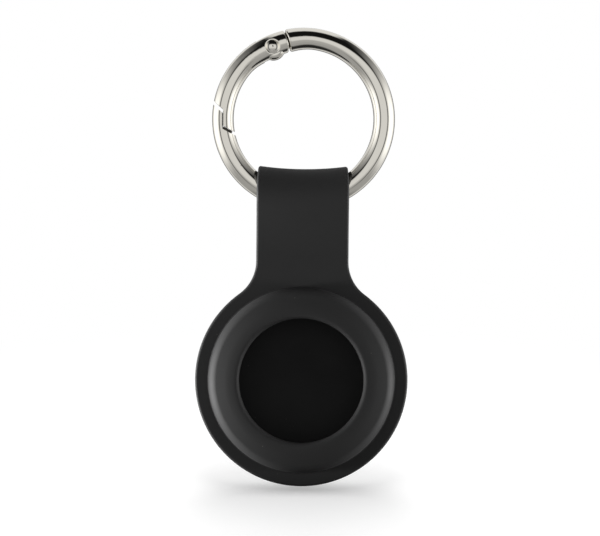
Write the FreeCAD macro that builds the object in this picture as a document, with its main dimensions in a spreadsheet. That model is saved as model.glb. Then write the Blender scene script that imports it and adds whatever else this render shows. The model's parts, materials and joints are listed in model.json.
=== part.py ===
import FreeCAD, Part
import math
import os
from types import SimpleNamespace

import Sketcher

# Tracker tag holder: a soft one-piece pocket for a coin-shaped tag, on a short strap
# with a moulded eye, hung on a ring that opens with a sprung gate.
#
# +Z is up and the front looks along -Y. The origin is the ring's centre, and the ring
# lies in the XZ plane. Lengths are in millimetres and angles in degrees.

SIZES = {
    # Gate ring
    "ring_inner_diameter": 26.0,
    "wire_diameter": 4.0,
    # Swell of the wire round the hinge, on its inner side
    "swell": 0.5,
    "swell_gate_angle": 26.0,
    "swell_frame_angle": 32.0,
    # Hinge of the gate. Its angle runs anticlockwise from +X, seen from the front.
    "hinge_angle": 113.7,
    "hinge_inset": 0.4,
    "seam_distance": 3.05,
    "hinge_gap": 0.15,
    "shoulder_edge_round": 0.45,
    "seam_edge_round": 0.3,
    "slot_width": 1.6,
    "slot_depth": 2.5,
    "knuckle_radius": 2.2,
    "knuckle_shift": 0.35,
    "knuckle_width": 3.3,
    "knuckle_round": 1.0,
    # Tongue of the ring frame, between the cheeks of the gate
    "tongue_clearance": 0.1,
    "tongue_root": 0.8,
    "heel_distance": 1.5,
    "foot_reach": 1.95,
    "foot_round": 0.3,
    # Stepped latch, its two corners above and below the ring's centre
    "latch_top": 1.35,
    "latch_bottom": 1.65,
    "latch_slant_gap": 0.58,
    "latch_step_gap": 0.1,
    # Rivet
    "rivet_diameter": 1.6,
    "rivet_fit": 0.02,
    "rivet_running_fit": 0.05,
    "head_diameter": 2.6,
    "head_height": 0.39,
    "dimple_radius": 0.3,
    "dimple_depth": 0.1,
    "spot_level": 1.72,
    "spot_margin": 0.15,
    # Plunger and spring that close the gate
    "plunger_diameter": 1.4,
    "plunger_length": 1.9,
    "plunger_fit": 0.05,
    "plunger_offset": 0.7,
    "bore_depth": 4.5,
    "tail_length": 0.7,
    "tail_clearance": 0.08,
    "spring_wire": 0.3,
    "spring_turns": 4,
    "seat_gap": 0.02,
    # Tag pocket
    "tag_diameter": 31.9,
    "tag_thickness": 8.0,
    "tag_clearance": 0.15,
    "side_wall": 1.1,
    "skin": 1.35,
    "pocket_round": 1.0,
    "window_diameter": 23.0,
    "lip_round": 0.8,
    "lip_inner_round": 0.3,
    "lip_land": 0.3,
    "crown_radius": 10.5,
    "shoulder_round": 2.4,
    "crease_round": 0.3,
    # Web: the flat strap and the flange round the pocket, one thickness
    "web_thickness": 3.2,
    "flange_width": 2.55,
    "edge_round": 0.45,
    "strap_top_width": 17.1,
    "strap_taper_angle": 0.1,
    "neck_round": 7.5,
    "disc_drop": 48.5,
    # Eye of the strap, which the ring passes through
    "tunnel_radius": 3.85,
    "eye_wall": 1.1,
    "mouth_round": 0.45,
    "hang_clearance": 0.15,
    "loop_sag": 0.56,
    "strap_flat": 1.0,
}

LEFT = 1
RIGHT = -1

# How far the swell has grown at even steps from its end to the hinge
SWELL_SHARES = (0.0, 0.15, 0.5, 0.85)

doc = FreeCAD.newDocument("TagHolder")
sheet = doc.addObject("Spreadsheet::Sheet", "Sizes")
for row, (alias, value) in enumerate(SIZES.items(), start=1):
    sheet.set("A%d" % row, alias)
    sheet.set("B%d" % row, str(value))
    sheet.setAlias("B%d" % row, alias)
doc.recompute()


class Size:
    """A number, with the expression that works it out from the sheet."""

    def __init__(self, number, text):
        self.number = number
        self.text = text

    def __add__(self, other):
        return Size(self.number + other.number, "(%s + %s)" % (self.text, other.text))

    def __sub__(self, other):
        return Size(self.number - other.number, "(%s - %s)" % (self.text, other.text))

    def __mul__(self, other):
        return Size(self.number * other.number, "(%s * %s)" % (self.text, other.text))

    def __truediv__(self, other):
        return Size(self.number / other.number, "(%s / %s)" % (self.text, other.text))

    def __neg__(self):
        return Size(-self.number, "(-%s)" % self.text)


def count(number):
    return Size(float(number), str(number))


def root(size):
    return Size(math.sqrt(size.number), "sqrt(%s)" % size.text)


def sine(angle):
    return Size(math.sin(math.radians(angle.number)), "sin(%s * 1 deg)" % angle.text)


def cosine(angle):
    return Size(math.cos(math.radians(angle.number)), "cos(%s * 1 deg)" % angle.text)


def arcsine(ratio):
    return Size(math.degrees(math.asin(ratio.number)), "(asin(%s) / 1 deg)" % ratio.text)


def leg(longest, other):
    """The third side of a triangle with a right angle."""
    return root(longest * longest - other * other)


def span(across, along):
    return root(across * across + along * along)


ZERO = count(0)
TWO = count(2)
QUARTER_TURN = count(90)
FULL_TURN = count(360)
CENTRE = (ZERO, ZERO)

cell = SimpleNamespace(**{alias: Size(float(value), "Sizes." + alias) for alias, value in SIZES.items()})

# Sizes worked out from the sheet: the ring and its hinge
wire_radius = cell.wire_diameter / TWO
ring_inner_radius = cell.ring_inner_diameter / TWO
ring_radius = ring_inner_radius + wire_radius
pivot_radius = ring_radius - cell.hinge_inset
pivot_x = pivot_radius * cosine(cell.hinge_angle)
pivot_z = pivot_radius * sine(cell.hinge_angle)
gate_angle = cell.hinge_angle + QUARTER_TURN
upper_reach = span(pivot_x + ring_radius, pivot_z - cell.latch_top)
lower_reach = span(pivot_x + ring_radius, pivot_z + cell.latch_bottom)
rivet_radius = cell.rivet_diameter / TWO
head_radius = cell.head_diameter / TWO
plunger_radius = cell.plunger_diameter / TWO
nose_start = cell.heel_distance + cell.seat_gap
plunger_end = nose_start + cell.plunger_length
bore_end = cell.slot_depth + cell.bore_depth

# Sizes worked out from the sheet: the holder
pocket_radius = cell.tag_diameter / TWO + cell.tag_clearance
pocket_half = cell.tag_thickness / TWO + cell.tag_clearance
face_depth = pocket_half + cell.skin
window_radius = cell.window_diameter / TWO
dome_radius = pocket_radius + cell.side_wall
flange_radius = dome_radius + cell.flange_width
web_half = cell.web_thickness / TWO
strap_top_half = cell.strap_top_width / TWO
mouth_inside = leg(
    ring_inner_radius - cell.mouth_round - cell.hang_clearance,
    strap_top_half - cell.mouth_round,
)
mouth_drop = mouth_inside + cell.mouth_round
ceiling_drop = mouth_drop + cell.loop_sag
tunnel_drop = ceiling_drop + cell.tunnel_radius
eye_radius = cell.tunnel_radius + cell.eye_wall
bow_radius = (strap_top_half * strap_top_half + cell.loop_sag * cell.loop_sag) / (TWO * cell.loop_sag)
bow_height = bow_radius - ceiling_drop

# The neck: an arc that touches the strap's slanting side and the flange
taper_cosine = cosine(cell.strap_taper_angle)
taper_sine = sine(cell.strap_taper_angle)
side_offset = strap_top_half * taper_cosine - mouth_drop * taper_sine
neck_out = side_offset + cell.neck_round + cell.disc_drop * taper_sine
neck_reach = flange_radius + cell.neck_round
neck_up = leg(neck_reach, neck_out)
neck_x = neck_out * taper_cosine - neck_up * taper_sine
neck_drop = cell.disc_drop - neck_out * taper_sine - neck_up * taper_cosine
neck_start_drop = neck_drop + cell.neck_round * taper_sine

# The flanks: an arc on each face that touches the eye and runs out above the neck
flank_drop = neck_start_drop - cell.strap_flat
flank_rise = flank_drop - tunnel_drop
eye_excess = eye_radius - web_half
flank_round = (flank_rise * flank_rise / eye_excess - eye_radius - web_half) / TWO


class Bend:
    """Makes the edge between two points of a loop an arc of less than a half circle."""

    def __init__(self, radius, turn):
        self.radius = radius
        self.turn = turn


def vector(point):
    return FreeCAD.Vector(point[0].number, point[1].number, 0)


def at_hinge(along, inward):
    """A point given from the rivet: along the gate, and inward to the ring's centre."""
    x = pivot_x + along * cosine(gate_angle) - inward * sine(gate_angle)
    z = pivot_z + along * sine(gate_angle) + inward * cosine(gate_angle)
    return x, z


def new_body(label):
    body = doc.addObject("PartDesign::Body", label)
    body.Label = label
    return body


def turn_sketch(sketch, angle):
    """Turn a sketch on the YZ plane about the ring's axis, to a place round the ring."""
    sketch.AttachmentOffset = FreeCAD.Placement(FreeCAD.Vector(), FreeCAD.Rotation(FreeCAD.Vector(1, 0, 0), 1))
    sketch.setExpression("AttachmentOffset.Rotation.Angle", (QUARTER_TURN - angle).text)


def new_sketch(body, name, role, lift=ZERO):
    sketch = body.newObject("Sketcher::SketchObject", name)
    plane = next(item for item in body.Origin.OriginFeatures if item.Role == role)
    sketch.AttachmentSupport = [(plane, "")]
    sketch.MapMode = "FlatFace"
    sketch.setExpression("AttachmentOffset.Base.z", lift.text)
    return sketch


def bound_constraint(sketch, constraint, size):
    index = sketch.addConstraint(constraint)
    sketch.setExpression("Constraints[%d]" % index, size.text)


def fix_point(sketch, geometry, position, point):
    """Dimension one point from the sketch's origin, both ways."""
    for kind, size in zip(("DistanceX", "DistanceY"), point):
        constraint = Sketcher.Constraint(kind, -1, 1, geometry, position, size.number)
        bound_constraint(sketch, constraint, size)


def fix_radius(sketch, geometry, radius):
    bound_constraint(sketch, Sketcher.Constraint("Radius", geometry, radius.number), radius)


def arc_geometry(start, finish, bend):
    """The arc between two points that turns to the given side."""
    chord = vector(finish) - vector(start)
    middle = (vector(start) + vector(finish)) * 0.5
    side = FreeCAD.Vector(-chord.y, chord.x, 0).normalize() * bend.turn
    rise = math.sqrt(bend.radius.number ** 2 - chord.Length ** 2 / 4)
    centre = middle + side * rise
    ends = (start, finish) if bend.turn == LEFT else (finish, start)
    angles = [math.atan2(vector(end).y - centre.y, vector(end).x - centre.x) for end in ends]
    circle = Part.Circle(centre, FreeCAD.Vector(0, 0, 1), bend.radius.number)
    return Part.ArcOfCircle(circle, angles[0], angles[1])


def loop(sketch, path):
    """A closed outline through points, with a Bend between the two ends of each arc."""
    points = [item for item in path if not isinstance(item, Bend)]
    bends = {}
    for item in path:
        if isinstance(item, Bend):
            bends[len(bends_before(path, item)) - 1] = item
    ends = []
    for index, start in enumerate(points):
        finish = points[(index + 1) % len(points)]
        bend = bends.get(index)
        if bend:
            geometry = sketch.addGeometry(arc_geometry(start, finish, bend), False)
            ends.append((geometry, 1, 2) if bend.turn == LEFT else (geometry, 2, 1))
        else:
            geometry = sketch.addGeometry(Part.LineSegment(vector(start), vector(finish)), False)
            ends.append((geometry, 1, 2))
    for index, (geometry, first, last) in enumerate(ends):
        following = ends[(index + 1) % len(ends)]
        sketch.addConstraint(Sketcher.Constraint("Coincident", geometry, last, following[0], following[1]))
        fix_point(sketch, geometry, first, points[index])
        if index in bends:
            fix_radius(sketch, geometry, bends[index].radius)


def bends_before(path, bend):
    """The points of a path that come before one of its bends."""
    return [item for item in path[:path.index(bend)] if not isinstance(item, Bend)]


def circle(sketch, centre, radius):
    shape = Part.Circle(vector(centre), FreeCAD.Vector(0, 0, 1), radius.number)
    geometry = sketch.addGeometry(shape, False)
    fix_point(sketch, geometry, 3, centre)
    fix_radius(sketch, geometry, radius)


def axis_line(sketch, start, finish):
    """A construction line to turn a profile about."""
    geometry = sketch.addGeometry(Part.LineSegment(vector(start), vector(finish)), True)
    fix_point(sketch, geometry, 1, start)
    fix_point(sketch, geometry, 2, finish)


def finish_step(body, step, volume_before):
    """Recompute, and stop if a step did not add or cut what its kind says."""
    doc.recompute()
    change = step.Shape.Volume - volume_before
    cuts = step.TypeId in ("PartDesign::Pocket", "PartDesign::Groove")
    if change == 0 or cuts != (change < 0):
        raise RuntimeError("%s of %s changed nothing" % (step.Name, body.Label))
    return step


def volume_of(body):
    return body.Tip.Shape.Volume if body.Tip else 0


def extrude(body, kind, name, sketch, length, side="Symmetric", reverse=False):
    before = volume_of(body)
    step = body.newObject("PartDesign::" + kind, name)
    step.Profile = sketch
    step.SideType = side
    step.Reversed = reverse
    step.setExpression("Length", length.text)
    return finish_step(body, step, before)


def revolve(body, kind, name, sketch, axis, angle=FULL_TURN):
    before = volume_of(body)
    step = body.newObject("PartDesign::" + kind, name)
    step.Profile = sketch
    step.ReferenceAxis = (sketch, [axis])
    step.Midplane = True
    step.setExpression("Angle", angle.text)
    return finish_step(body, step, before)


def round_edges(body, name, radius, edges):
    """Round the given edges of the body's last step."""
    base = body.Tip
    names = []
    for index, edge in enumerate(base.Shape.Edges, start=1):
        if any(edge.isSame(wanted) for wanted in edges):
            names.append("Edge%d" % index)
    step = body.newObject("PartDesign::Fillet", name)
    step.Base = (base, names)
    step.setExpression("Radius", radius.text)
    doc.recompute()
    return step


def wire_section(body, name, angle, growth):
    """The round section of the wire at an angle round the ring, grown on its inner side."""
    half_growth = growth / TWO
    sketch = new_sketch(body, name, "YZ_Plane")
    turn_sketch(sketch, angle)
    circle(sketch, (ZERO, ring_radius - half_growth), wire_radius + half_growth)
    return sketch


def swell_stations(reach):
    """The angle and the growth at each step, from one end of the swell towards the hinge."""
    steps = len(SWELL_SHARES)
    return [
        (cell.hinge_angle + reach * count(1 - index / steps), cell.swell * count(share))
        for index, share in enumerate(SWELL_SHARES)
    ]


def add_wire_ring(body):
    """The wire of the ring, closed on itself: a plain round stretch, and a swell at the hinge."""
    stations = swell_stations(cell.swell_gate_angle)
    stations.append((cell.hinge_angle, cell.swell))
    stations += reversed(swell_stations(-cell.swell_frame_angle))
    sketches = [
        wire_section(body, "swell_section_%d" % index, angle, growth)
        for index, (angle, growth) in enumerate(stations)
    ]
    before = volume_of(body)
    loft = body.newObject("PartDesign::AdditiveLoft", "swell")
    loft.Profile = sketches[0]
    loft.Sections = sketches[1:]
    finish_step(body, loft, before)

    swell_span = cell.swell_gate_angle + cell.swell_frame_angle
    middle = cell.hinge_angle + (cell.swell_gate_angle - cell.swell_frame_angle) / TWO + FULL_TURN / TWO
    sketch = wire_section(body, "plain_section", middle, ZERO)
    revolve(body, "Revolution", "wire_ring", sketch, "H_Axis", FULL_TURN - swell_span)


def hinge_path(distance):
    """The seam at the hinge, at a distance from the rivet: straight outside, and round it inside."""
    return [
        at_hinge(-distance, -(TWO * cell.wire_diameter)),
        at_hinge(-distance, ZERO),
        Bend(distance, RIGHT),
        at_hinge(ZERO, distance),
        CENTRE,
    ]


def latch_path(side):
    """The stepped latch on one side of its gap. Both slants are arcs about the rivet, so it swings free."""
    slant_shift = cell.latch_slant_gap * side / TWO
    upper = upper_reach + slant_shift
    lower = lower_reach + slant_shift
    step_x = -ring_radius - cell.latch_step_gap * side / TWO
    across = pivot_x - step_x
    return [
        (pivot_x, pivot_z - lower),
        Bend(lower, RIGHT),
        (step_x, pivot_z - leg(lower, across)),
        (step_x, pivot_z - leg(upper, across)),
        Bend(upper, RIGHT),
        (pivot_x - upper, pivot_z),
    ]


def crosses_wire(face):
    """True for a wall that a cut has left across the wire."""
    surface = face.Surface
    if isinstance(surface, Part.Plane):
        return abs(surface.Axis.y) < 0.5
    return isinstance(surface, Part.Cylinder) and surface.Radius > cell.knuckle_radius.number


def seam_edges(body):
    """The outer edges of the walls across the wire at the seam, on the far side of the rivet."""
    walls = [
        face for face in body.Tip.Shape.Faces
        if crosses_wire(face) and face.CenterOfMass.x > pivot_x.number
    ]
    rims = [edge for wall in walls for edge in wall.Edges if in_faces(edge, walls) == 1]
    return [edge for edge in rims if not is_length(abs(edge.CenterOfMass.y), cell.slot_width / TWO)]


def make_ring_frame():
    body = new_body("ring_frame")
    add_wire_ring(body)

    shoulder = cell.seam_distance + cell.hinge_gap
    opening = new_sketch(body, "gate_opening", "XZ_Plane")
    loop(opening, hinge_path(shoulder) + latch_path(count(1)))
    extrude(body, "Pocket", "gate_opening_cut", opening, TWO * cell.wire_diameter)
    round_edges(body, "shoulder_edge", cell.shoulder_edge_round, seam_edges(body))

    heel = cell.heel_distance
    tongue = new_sketch(body, "tongue_outline", "XZ_Plane")
    tongue_start = -(shoulder + cell.tongue_root)
    loop(tongue, [
        at_hinge(tongue_start, -heel),
        at_hinge(ZERO, -heel),
        Bend(heel, LEFT),
        at_hinge(heel, ZERO),
        at_hinge(heel, cell.foot_reach - cell.foot_round),
        Bend(cell.foot_round, LEFT),
        at_hinge(heel - cell.foot_round, cell.foot_reach),
        at_hinge(ZERO, cell.foot_reach),
        at_hinge(-heel, heel),
        at_hinge(tongue_start, heel),
    ])
    extrude(body, "Pad", "tongue", tongue, cell.slot_width - TWO * cell.tongue_clearance)

    hole = new_sketch(body, "tongue_hole", "XZ_Plane")
    circle(hole, (pivot_x, pivot_z), rivet_radius + cell.rivet_running_fit)
    extrude(body, "Pocket", "tongue_hole_cut", hole, cell.slot_width)
    return body


def make_ring_gate():
    body = new_body("ring_gate")
    knuckle = new_sketch(body, "knuckle_outline", "XZ_Plane")
    circle(knuckle, at_hinge(ZERO, cell.knuckle_shift), cell.knuckle_radius)
    extrude(body, "Pad", "knuckle", knuckle, cell.knuckle_width)
    rims = [edge for edge in body.Tip.Shape.Edges if isinstance(edge.Curve, Part.Circle)]
    round_edges(body, "knuckle_rims", cell.knuckle_round, rims)
    add_wire_ring(body)

    outline = new_sketch(body, "gate_outline", "XZ_Plane")
    circle(outline, CENTRE, TWO * ring_radius)
    loop(outline, hinge_path(cell.seam_distance) + latch_path(count(-1)))
    extrude(body, "Pocket", "gate_outline_cut", outline, TWO * cell.wire_diameter)

    far = cell.wire_diameter
    slot = new_sketch(body, "fork_slot", "XZ_Plane")
    loop(slot, [
        at_hinge(-far, -far),
        at_hinge(cell.slot_depth, -far),
        at_hinge(cell.slot_depth, far),
        at_hinge(-far, far),
    ])
    extrude(body, "Pocket", "fork_slot_cut", slot, cell.slot_width)

    bore = new_sketch(body, "plunger_bore", "XZ_Plane")
    bore_wall = cell.plunger_offset + plunger_radius + cell.plunger_fit
    axis_line(bore, at_hinge(ZERO, cell.plunger_offset), at_hinge(bore_end, cell.plunger_offset))
    loop(bore, [
        at_hinge(ZERO, cell.plunger_offset),
        at_hinge(bore_end, cell.plunger_offset),
        at_hinge(bore_end, bore_wall),
        at_hinge(ZERO, bore_wall),
    ])
    revolve(body, "Groove", "plunger_bore_cut", bore, "Axis0")

    hole = new_sketch(body, "rivet_hole", "XZ_Plane")
    circle(hole, (pivot_x, pivot_z), rivet_radius + cell.rivet_fit)
    extrude(body, "Pocket", "rivet_hole_cut", hole, TWO * cell.wire_diameter)

    for name, level, outward in (("front", cell.spot_level, True), ("back", -cell.spot_level, False)):
        spot = new_sketch(body, name + "_spot", "XZ_Plane", level)
        circle(spot, (pivot_x, pivot_z), head_radius + cell.spot_margin)
        extrude(body, "Pocket", name + "_spot_face", spot, cell.wire_diameter, "One side", outward)
    round_edges(body, "seam_edge", cell.seam_edge_round, seam_edges(body))
    return body


def place_at_hinge(item):
    """Put a piece that is drawn from the rivet, with X along the gate, in its place."""
    item.Placement = FreeCAD.Placement(FreeCAD.Vector(), FreeCAD.Rotation(FreeCAD.Vector(0, 1, 0), 1))
    item.setExpression("Placement.Base.x", pivot_x.text)
    item.setExpression("Placement.Base.z", pivot_z.text)
    item.setExpression("Placement.Rotation.Angle", (-gate_angle).text)


def make_hinge_rivet():
    body = new_body("hinge_rivet")
    place_at_hinge(body)
    top = cell.spot_level + cell.head_height
    dome = (head_radius * head_radius + cell.head_height * cell.head_height) / (TWO * cell.head_height)
    dimple_square = cell.dimple_radius * cell.dimple_radius + cell.dimple_depth * cell.dimple_depth
    dimple = dimple_square / (TWO * cell.dimple_depth)
    rim = top - dome + leg(dome, cell.dimple_radius)
    section = new_sketch(body, "rivet_section", "YZ_Plane")
    loop(section, [
        (rim - cell.dimple_depth, ZERO),
        Bend(dimple, RIGHT),
        (rim, cell.dimple_radius),
        Bend(dome, LEFT),
        (cell.spot_level, head_radius),
        (cell.spot_level, rivet_radius),
        (-cell.spot_level, rivet_radius),
        (-cell.spot_level, head_radius),
        Bend(dome, LEFT),
        (-top, ZERO),
    ])
    revolve(body, "Revolution", "rivet", section, "H_Axis")
    return body


def make_gate_plunger():
    body = new_body("gate_plunger")
    place_at_hinge(body)
    middle = cell.plunger_offset
    side = middle + plunger_radius
    tail = middle + plunger_radius - cell.spring_wire - cell.tail_clearance
    tail_end = plunger_end + cell.tail_length
    section = new_sketch(body, "plunger_section", "XZ_Plane")
    axis_line(section, (nose_start, middle), (tail_end, middle))
    loop(section, [
        (nose_start, middle),
        Bend(plunger_radius, RIGHT),
        (nose_start + plunger_radius, side),
        (plunger_end, side),
        (plunger_end, tail),
        (tail_end, tail),
        (tail_end, middle),
    ])
    revolve(body, "Revolution", "plunger", section, "Axis0")
    return body


def biarc(start, start_way, finish, finish_way):
    """Two arcs that leave one point along its way and reach the next along its own."""
    chord = finish - start
    ways = start_way + finish_way
    slack = 2 * (1 - start_way.dot(finish_way))
    along = chord.dot(ways)
    reach = (math.sqrt(along ** 2 + slack * chord.dot(chord)) - along) / slack
    corners = (start + start_way * reach, finish - finish_way * reach)
    joint = (corners[0] + corners[1]) * 0.5
    edges = []
    for end, corner in ((start, corners[0]), (finish, corners[1])):
        middle = (end + joint) * 0.5
        half = (end - middle).Length
        bulge = math.tan(math.acos(half / (end - corner).Length) / 2) * half
        crest = middle + (corner - middle).normalize() * bulge
        first, last = (end, joint) if end is start else (joint, end)
        edges.append(Part.Arc(first, crest, last).toShape())
    return edges


def make_gate_spring():
    """An open coil between the plunger's shoulder and the end of its bore."""
    wire = cell.spring_wire.number
    coil_radius = plunger_radius.number - wire / 2
    first = plunger_end.number + wire / 2 + cell.seat_gap.number
    last = bore_end.number - wire / 2 - cell.seat_gap.number
    turns = cell.spring_turns.number
    sweep = 2 * math.pi * turns

    def coil(angle):
        rise = first + (last - first) * angle / sweep
        offset = cell.plunger_offset.number + coil_radius * math.sin(angle)
        return FreeCAD.Vector(rise, coil_radius * math.cos(angle), offset)

    def way(angle):
        rate = (last - first) / sweep
        across = FreeCAD.Vector(0, -math.sin(angle), math.cos(angle)) * coil_radius
        return (across + FreeCAD.Vector(rate, 0, 0)).normalize()

    quarters = int(4 * turns)
    angles = [sweep * index / quarters for index in range(quarters + 1)]
    edges = []
    for before, after in zip(angles, angles[1:]):
        edges += biarc(coil(before), way(before), coil(after), way(after))
    section = Part.Circle(coil(0), way(0), wire / 2)
    pipe = Part.BRepOffsetAPI.MakePipeShell(Part.Wire(edges))
    pipe.add(Part.Wire([section.toShape()]))
    pipe.build()
    pipe.makeSolid()

    steps = int(24 * turns)
    points = [coil(sweep * index / steps) for index in range(steps + 1)]
    half_turn = 12
    nearest = min(
        (later - point).Length
        for index, point in enumerate(points)
        for later in points[index + half_turn:]
    )
    print("gate_spring: least gap between turns %.3f mm" % (nearest - wire))

    spring = doc.addObject("Part::Feature", "gate_spring")
    spring.Shape = pipe.shape()
    spring.Label = "gate_spring"
    place_at_hinge(spring)
    doc.recompute()
    return spring


def strap_side(drop):
    """The strap's right edge at a depth below the ring's centre. It widens downward."""
    return strap_top_half + (drop - mouth_drop) * taper_sine / taper_cosine, -drop


def mirrored(point):
    return -point[0], point[1]


def add_strap_eye(body):
    """The eye and its flanks, bowed like a strap that hangs on a round wire."""
    reach = eye_radius + flank_round
    eye_edge = (
        eye_radius * (web_half + flank_round) / reach,
        -(tunnel_drop + eye_radius * flank_rise / reach),
    )
    flank_end = (web_half, -flank_drop)
    foot = (web_half, -(flank_drop + cell.strap_flat / TWO))

    section = new_sketch(body, "eye_section", "YZ_Plane")
    axis_line(section, (-eye_radius, bow_height), (eye_radius, bow_height))
    loop(section, [
        (ZERO, eye_radius - tunnel_drop),
        Bend(eye_radius, RIGHT),
        eye_edge,
        Bend(flank_round, LEFT),
        flank_end,
        foot,
        mirrored(foot),
        mirrored(flank_end),
        Bend(flank_round, LEFT),
        mirrored(eye_edge),
        Bend(eye_radius, RIGHT),
    ])
    circle(section, (ZERO, -tunnel_drop), cell.tunnel_radius)
    spread = arcsine(cell.strap_top_width / bow_radius)
    revolve(body, "Revolution", "eye", section, "Axis0", TWO * spread)

    sides = new_sketch(body, "strap_sides", "XZ_Plane")
    wide = TWO * cell.strap_top_width
    above = cell.web_thickness
    below = cell.disc_drop + cell.web_thickness
    loop(sides, [(wide, above), (wide, -below), (-wide, -below), (-wide, above)])
    top = strap_side(ZERO)
    bottom = strap_side(cell.disc_drop)
    loop(sides, [top, bottom, mirrored(bottom), mirrored(top)])
    extrude(body, "Pocket", "strap_sides_cut", sides, TWO * TWO * eye_radius)


def add_web(body):
    """The flat strap, its neck and the flange round the pocket, in one outline."""
    neck_start = (neck_x - cell.neck_round * taper_cosine, -neck_start_drop)
    share = flange_radius / neck_reach
    neck_end = (neck_x * share, (cell.disc_drop - neck_drop) * share - cell.disc_drop)
    top = strap_side(tunnel_drop + eye_radius)

    outline = new_sketch(body, "web_outline", "XZ_Plane")
    loop(outline, [
        top,
        neck_start,
        Bend(cell.neck_round, LEFT),
        neck_end,
        Bend(flange_radius, RIGHT),
        (ZERO, -(cell.disc_drop + flange_radius)),
        Bend(flange_radius, RIGHT),
        mirrored(neck_end),
        Bend(cell.neck_round, LEFT),
        mirrored(neck_start),
        mirrored(top),
    ])
    circle(outline, (ZERO, -cell.disc_drop), pocket_radius + cell.side_wall / TWO)
    extrude(body, "Pad", "web", outline, cell.web_thickness)


def add_pocket_shell(body):
    """The domed pocket: a wall of even thickness, closed behind, with a lipped window in front."""
    crown_start = window_radius + cell.lip_round + cell.lip_land
    shoulder_radius = dome_radius - cell.shoulder_round
    crown_reach = cell.crown_radius - cell.shoulder_round
    crown_rise = shoulder_radius - crown_start
    crown_depth = leg(crown_reach, crown_rise)
    crown_base = face_depth - cell.crown_radius
    share = cell.crown_radius / crown_reach
    crown_end_depth = crown_base + crown_depth * share
    crown_end_radius = crown_start + crown_rise * share
    shoulder_depth = crown_base + crown_depth
    corner = pocket_radius - cell.pocket_round
    corner_depth = pocket_half - cell.pocket_round

    def at(depth, radius):
        return depth, radius - cell.disc_drop

    section = new_sketch(body, "pocket_section", "YZ_Plane")
    axis_line(section, at(-face_depth, ZERO), at(face_depth, ZERO))
    loop(section, [
        at(face_depth, ZERO),
        at(face_depth, crown_start),
        Bend(cell.crown_radius, LEFT),
        at(crown_end_depth, crown_end_radius),
        Bend(cell.shoulder_round, LEFT),
        at(shoulder_depth, dome_radius),
        at(-shoulder_depth, dome_radius),
        Bend(cell.shoulder_round, LEFT),
        at(-crown_end_depth, crown_end_radius),
        Bend(cell.crown_radius, LEFT),
        at(-face_depth, crown_start),
        at(-face_depth, window_radius + cell.lip_round),
        Bend(cell.lip_round, LEFT),
        at(cell.lip_round - face_depth, window_radius),
        at(-pocket_half - cell.lip_inner_round, window_radius),
        Bend(cell.lip_inner_round, LEFT),
        at(-pocket_half, window_radius + cell.lip_inner_round),
        at(-pocket_half, corner),
        Bend(cell.pocket_round, RIGHT),
        at(-corner_depth, pocket_radius),
        at(corner_depth, pocket_radius),
        Bend(cell.pocket_round, RIGHT),
        at(pocket_half, corner),
        at(pocket_half, ZERO),
    ])
    revolve(body, "Revolution", "pocket_shell", section, "Axis0")


def is_length(number, size):
    return math.isclose(number, size.number, rel_tol=1e-6)


def round_holder(body):
    """Round the crease at the flange, the mouths of the eye and the whole outer edge."""
    creases = [
        edge for edge in body.Tip.Shape.Edges
        if isinstance(edge.Curve, Part.Circle) and is_length(edge.Curve.Radius, dome_radius)
        and is_length(abs(edge.Curve.Center.y), web_half)
    ]
    round_edges(body, "crease", cell.crease_round, creases)
    round_edges(body, "eye_mouths", cell.mouth_round, rim_edges(body, True))
    round_edges(body, "outer_edge", cell.edge_round, rim_edges(body, False))


def rim_edges(body, at_tunnel):
    """The edges of the web's outline walls: those at the tunnel, or all the others."""
    faces = body.Tip.Shape.Faces
    rims = [face for face in faces if is_rim(face)]
    tunnels = [face for face in faces if is_tunnel(face)]
    outer = [edge for rim in rims for edge in rim.Edges if in_faces(edge, rims) == 1]
    return [edge for edge in outer if bool(in_faces(edge, tunnels)) == at_tunnel]


def is_tunnel(face):
    """True for the tunnel of the eye."""
    surface = face.Surface
    if isinstance(surface, Part.Toroid):
        return is_length(surface.MinorRadius, cell.tunnel_radius)
    return False


def is_rim(face):
    """True for the walls of the web's outline, which run straight from front to back."""
    surface = face.Surface
    if isinstance(surface, Part.Plane):
        return abs(surface.Axis.y) < 0.5
    if isinstance(surface, Part.Cylinder):
        return is_length(surface.Radius, flange_radius) or is_length(surface.Radius, cell.neck_round)
    return False


def in_faces(edge, faces):
    return sum(any(edge.isSame(other) for other in face.Edges) for face in faces)


def make_holder_body():
    body = new_body("holder_body")
    add_strap_eye(body)
    add_web(body)
    add_pocket_shell(body)
    round_holder(body)
    return body


parts = [
    make_ring_frame(),
    make_ring_gate(),
    make_hinge_rivet(),
    make_gate_plunger(),
    make_gate_spring(),
    make_holder_body(),
]

doc.recompute()
failed = [item.Name for item in doc.Objects if {"Invalid", "Error"} & set(item.State)]
if failed:
    raise RuntimeError("failed to build: " + ", ".join(failed))
for part in parts:
    if part.Shape.isNull() or not part.Shape.isValid():
        raise RuntimeError("bad shape: " + part.Label)

os.makedirs("parts", exist_ok=True)
for part in parts:
    part.Shape.exportStep("parts/%s.step" % part.Label)
    print("%s: %d solid, %.2f mm3" % (part.Label, len(part.Shape.Solids), part.Shape.Volume))
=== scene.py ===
# %% [markdown]
# # A tracker tag holder on a gate ring
#
# The holder is one soft moulding of black silicone: a strap with an eye, a flange, and a round
# pocket with a window. It hangs on a nickel-plated ring that opens with a sprung gate.
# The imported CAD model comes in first, as the fixed frame that every piece is fitted to. The metal
# pieces keep their CAD meshes, which are crisp enough for metal. The holder is modelled anew,
# because soft rubber shows best on an even mesh with rounder edges.

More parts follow.
